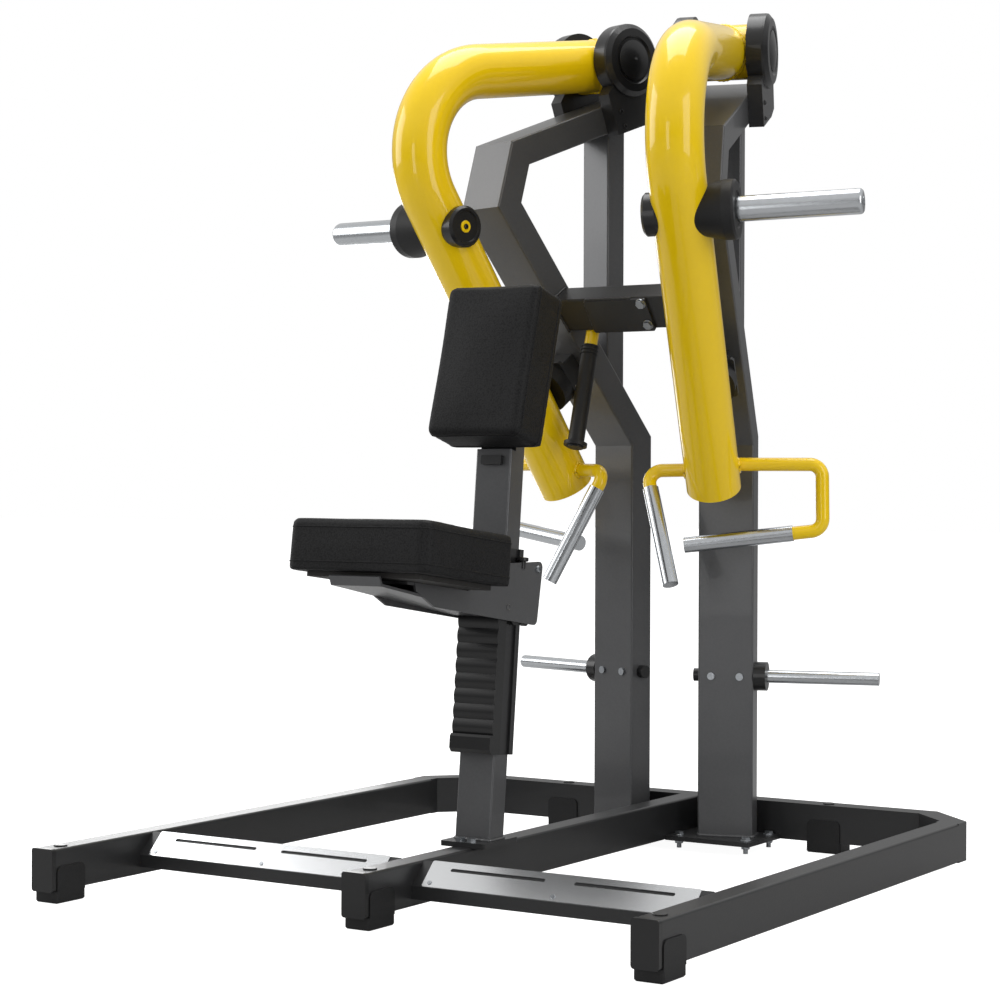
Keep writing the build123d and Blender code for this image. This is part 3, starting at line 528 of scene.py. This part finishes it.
for word, arm in arms.items():
    bendForward, bendHeight = armSet["bend"]
    run = (armPoint(word, bendForward, 0, bendHeight) - arm["hub"]).normalized()
    loops = [(sleeveRing(arm, run, arm["out"].cross(run)), True)]
    loops += [(barRing(word, forward, height, way), True) for forward, height, way in armSet["roots"]]
    weldPiece(word + "ArmWelds", loops, "armPaint", word + "_lever_arm")
print("stage: welds")

# Small fittings
screwSet = {"head": 0.0062, "height": 0.0042, "socket": 0.0032}


def screwHead(shape, place, axis, size=1.0):
    r, h, s = (screwSet[key] * size for key in ("head", "height", "socket"))
    profile = [(r, -0.002), (r, h * 0.45), (r * 0.86, h * 0.85), (r * 0.62, h), (s, h), (s * 0.94, h * 0.45)]
    spinShape(shape, place, axis, profile)


def hexNut(shape, place, axis, size, height):
    profile = [(size * 0.94, 0), (size, height * 0.12), (size, height * 0.88), (size * 0.93, height)]
    spinShape(shape, place, axis, profile, sides=6)


# Boss faces: a yellow washer round a dark screw. The boss's face is this far behind the start of the free horn.
bossBack = 0.112 + 0.069
washer = [(0.0125, -0.001), (0.0125, 0.0018), (0.0115, 0.0026), (0.0062, 0.0026), (0.0058, 0.0012)]
plug = [(0.0150, -0.001), (0.0150, 0.0016), (0.0138, 0.0026), (0.0064, 0.0026), (0.0056, 0.0009)]
mark = [(0.0085, -0.0006), (0.0085, 0.0006), (0.0072, 0.0011), (0.0045, 0.0011), (0.0038, 0.0003)]
# each grip's bar, from its corner to its open end
gripPlugs = (("InnerPlug", "plasticBlack", "black_plastic", (0.155, -0.140, 0.820), (0.251, -0.069, 0.589)),
             ("OuterPlug", "zincPlate", "zinc", (0.132, 0.228, 0.698), (0.155, -0.055, 0.6646)))
for word, arm in arms.items():
    face = arm["horn"] - arm["hornWay"] * (arm["hornHalf"] + bossBack)
    back = -arm["hornWay"]
    shape = bmesh.new()
    spinShape(shape, face, back, washer, 36)
    addPiece(word + "BossWasher", meshFrom(shape, word + "BossWasher"),
             "armPaint", word + "_lever_arm")
    shape = bmesh.new()
    screwHead(shape, face + back * 0.0012, back, 0.9)
    addPiece(word + "BossScrew", meshFrom(shape, word + "BossScrew"),
             "plasticBlack", word + "_lever_arm")
    # plugs in the open ends of the grips: dark inside the arms, bright outside them
    for label, finish, slot, corner, end in gripPlugs:
        shape = bmesh.new()
        start = armPoint(word, *corner)
        stop = armPoint(word, *end)
        way = (stop - start).normalized()
        spinShape(shape, stop + way * 0.001, way, plug, 32)
        addPiece(word + label, meshFrom(shape, word + label), finish, word + "_lever_arm")
    # worked end of the weight horn: a centre mark with a raised rim
    shape = bmesh.new()
    tipSpot = arm["horn"] + arm["hornWay"] * (arm["hornHalf"] + 0.008)
    spinShape(shape, tipSpot, arm["hornWay"], mark, 28)
    addPiece(word + "HornMark", meshFrom(shape, word + "HornMark"), "zincPlate", word + "_lever_arm")

# Screws in the pivot brackets
bracketSet = {"spots": ((0.068, 1.598), (0.056, 1.567)), "face": 0.0915, "size": 0.85}
shape = bmesh.new()
for word, arm in arms.items():
    for forward, height in bracketSet["spots"]:
        for way in (-1, 1):
            spot = armPoint(word, forward, way * bracketSet["face"], height)
            screwHead(shape, spot, arm["out"] * way, bracketSet["size"])
addPiece("bracketScrews", meshFrom(shape, "bracketScrews"), "plasticBlack", "frame")

# Nuts under the floor plates
plateBolts = [(x, y) for x in (-0.204, -0.044, 0.044, 0.204) for y in (0.531, 0.642)]
nutSet = {"under": 0.0228, "size": 0.0095, "height": 0.008}
shape = bmesh.new()
for x, y in plateBolts:
    hexNut(shape, (x, y, nutSet["under"]), (0, 0, -1), nutSet["size"], nutSet["height"])
addPiece("floorNuts", meshFrom(shape, "floorNuts", 20), "zincPlate", "frame")

# Washers under the bolt heads on the plates
plateTop = 0.033
flatWasher = [(0.0125, 0), (0.0125, 0.0012), (0.0119, 0.0018), (0.009, 0.0018)]
shape = bmesh.new()
for x, y in plateBolts:
    spinShape(shape, (x, y, plateTop), (0, 0, 1), flatWasher, 28)
addPiece("plateWashers", meshFrom(shape, "plateWashers"), "zincPlate", "frame")

# Carriage: plate screws, axle buttons and the latch tabs in the top notches
sheetFace = 0.056
screwSpot = (-0.078, 0.627)
buttonSpot = (-0.184, 0.557)
button = [(0.0066, -0.002), (0.0066, 0.0008), (0.0056, 0.0014), (0.0048, 0.0014), (0.0044, 0.0006)]
postUp = (0, 0.0976, 0.9952)
tabSet = {"wide": 0.0115, "stem": 0.0065, "rise": 0.022, "place": (0.0535, -0.131, 0.629)}
shape = bmesh.new()
for way in (-1, 1):
    screwHead(shape, (way * sheetFace, *screwSpot), (way, 0, 0), 1.15)
addPiece("plateScrews", meshFrom(shape, "plateScrews"), "zincPlate", "carriage")
shape = bmesh.new()
for way in (-1, 1):
    spinShape(shape, (way * sheetFace, *buttonSpot), (way, 0, 0), button, 28)
addPiece("plateButtons", meshFrom(shape, "plateButtons"), "framePaint", "carriage")
shape = bmesh.new()
for way in (-1, 1):
    wide, rise, stem = tabSet["wide"], tabSet["rise"], tabSet["stem"]
    x, y, z = tabSet["place"]
    spinShape(shape, (way * x, y, z), postUp,
              [(stem, 0), (stem, rise * 0.62), (wide * 0.9, rise * 0.66), (wide, rise * 0.72),
               (wide, rise * 0.96),
               (wide * 0.86, rise)], 28)
addPiece("latchTabs", meshFrom(shape, "latchTabs"), "plasticBlack", "carriage")

# Washers under the heads on the beam's joint plate
jointSet = {"x": 0.065, "rises": (0.028, -0.025), "face": 0.0311}
jointWasher = [(0.0112, 0), (0.0112, 0.0014), (0.0106, 0.002), (0.008, 0.002)]
shape = bmesh.new()
for rise in jointSet["rises"]:
    spot = Vector((jointSet["x"], beamMiddle.y, beamMiddle.z)) + beamUp * rise + beamOver * jointSet["face"]
    spinShape(shape, spot, beamOver, jointWasher, 32)
addPiece("jointWashers", meshFrom(shape, "jointWashers"), "zincPlate", "frame")

# Rings moulded into the top of the hand hold's grip
ringSet = {"skin": 0.0175, "flare": 0.025, "drop": 0.006, "places": (0.002, 0.010, 0.018),
           "profile": [(0.0172, -0.0018), (0.0187, -0.001), (0.0187, 0.001), (0.0172, 0.0018)]}
gripLow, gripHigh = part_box("assist_grip")
gripTop = Vector((gripLow.x + ringSet["flare"], gripHigh.y - ringSet["skin"], gripHigh.z - ringSet["drop"]))
gripWay = Vector((0, gripLow.y - gripHigh.y + 2 * ringSet["skin"], gripLow.z - gripHigh.z + 0.02)).normalized()
shape = bmesh.new()
for along in ringSet["places"]:
    spinShape(shape, gripTop + gripWay * along, gripWay, ringSet["profile"], 36)
addPiece("assistRings", meshFrom(shape, "assistRings"), "rubberBlack", "frame")

print("stage: fittings")

# Studio
studio = {"floor": 60.0, "under": -0.0006, "tone": (0.46, 0.46, 0.46), "worldHigh": 0.75, "worldLow": 0.13,
          "glow": 0.95}
floorShape = bmesh.new()
half = studio["floor"] / 2
corners = ((-half, -half), (half, -half), (half, half), (-half, half))
floorShape.faces.new([floorShape.verts.new((x, y, studio["under"])) for x, y in corners])
floorMesh = meshFrom(floorShape, "floor")
floorPaint = bpy.data.materials.new("floorPaint")
floorPaint.use_nodes = True
floorTree = floorPaint.node_tree
floorTree.nodes["Principled BSDF"].inputs["Roughness"].default_value = 0.7
floorTree.nodes["Principled BSDF"].inputs["Emission Color"].default_value = (1, 1, 1, 1)
seenFloor = floorTree.nodes.new("ShaderNodeLightPath").outputs["Is Camera Ray"]
glow = mathNode(floorTree, "MULTIPLY", seenFloor, studio["glow"])  # keeps the floor pale to its far edge
floorTree.links.new(glow, floorTree.nodes["Principled BSDF"].inputs["Emission Strength"])
floorTones = floorTree.nodes.new("ShaderNodeValToRGB")
floorTones.color_ramp.elements[0].color = (*[tone * 0.98 for tone in studio["tone"]], 1)
floorTones.color_ramp.elements[1].color = (*studio["tone"], 1)
floorPlace = floorTree.nodes.new("ShaderNodeTexCoord").outputs["Object"]
floorTree.links.new(noiseNode(floorTree, floorPlace, 2.0, 4.0), floorTones.inputs[0])
floorTree.links.new(floorTones.outputs[0], floorTree.nodes["Principled BSDF"].inputs["Base Color"])
floorPiece = bpy.data.objects.new("floor", floorMesh)
floorMesh.materials.append(floorPaint)
scene.collection.objects.link(floorPiece)

world = bpy.data.worlds.new("studio")
world.use_nodes = True
sky = world.node_tree
background = sky.nodes["Background"]
ramp = sky.nodes.new("ShaderNodeValToRGB")
ramp.color_ramp.elements[0].position = 0.5
ramp.color_ramp.elements[0].color = (*[studio["worldLow"]] * 3, 1)
ramp.color_ramp.elements[1].position = 0.74
ramp.color_ramp.elements[1].color = (*[studio["worldHigh"]] * 3, 1)
split = sky.nodes.new("ShaderNodeSeparateXYZ")
sky.links.new(sky.nodes.new("ShaderNodeTexCoord").outputs["Generated"], split.inputs[0])
height = mathNode(sky, "MULTIPLY_ADD", split.outputs[2], 0.5)
height.node.inputs[2].default_value = 0.5
sky.links.new(height, ramp.inputs[0])
seen = sky.nodes.new("ShaderNodeMix")
seen.data_type = "RGBA"
seen.inputs["B"].default_value = (1, 1, 1, 1)
sky.links.new(sky.nodes.new("ShaderNodeLightPath").outputs["Is Camera Ray"], seen.inputs["Factor"])
sky.links.new(ramp.outputs[0], seen.inputs["A"])
sky.links.new(seen.outputs["Result"], background.inputs[0])
background.inputs[1].default_value = 1.0
scene.world = world

lampSet = {
    "keyLamp": {"place": (-3.7, -1.5, 2.5), "aim": (0, 0, 1.3), "size": (2.4, 2.6), "power": 66},
    "fillLamp": {"place": (3.9, -0.9, 2.0), "aim": (0, 0.2, 1.0), "size": (1.8, 3.2), "power": 46},
    "frontLamp": {"place": (0.4, -4.8, 1.3), "aim": (0.1, 0, 1.0), "size": (1.0, 2.2), "power": 18},
    "topLamp": {"place": (-0.2, 0.6, 4.2), "aim": (0, 0.2, 0.8), "size": (2.4, 2.4), "power": 74},
    "cardLamp": {"place": (-3.1, 2.6, 0.95), "aim": (-0.3, -0.5, 0.3), "size": (1.5, 1.6), "power": 24},
}
for name, lamp in lampSet.items():
    data = bpy.data.lights.new(name, "AREA")
    data.shape = "RECTANGLE"
    data.size, data.size_y = lamp["size"]
    data.energy = lamp["power"]
    holder = bpy.data.objects.new(name, data)
    holder.location = lamp["place"]
    holder.visible_camera = False
    aim = Vector(lamp["aim"]) - Vector(lamp["place"])
    holder.rotation_euler = aim.to_track_quat("-Z", "Y").to_euler()
    scene.collection.objects.link(holder)
print("stage: studio")
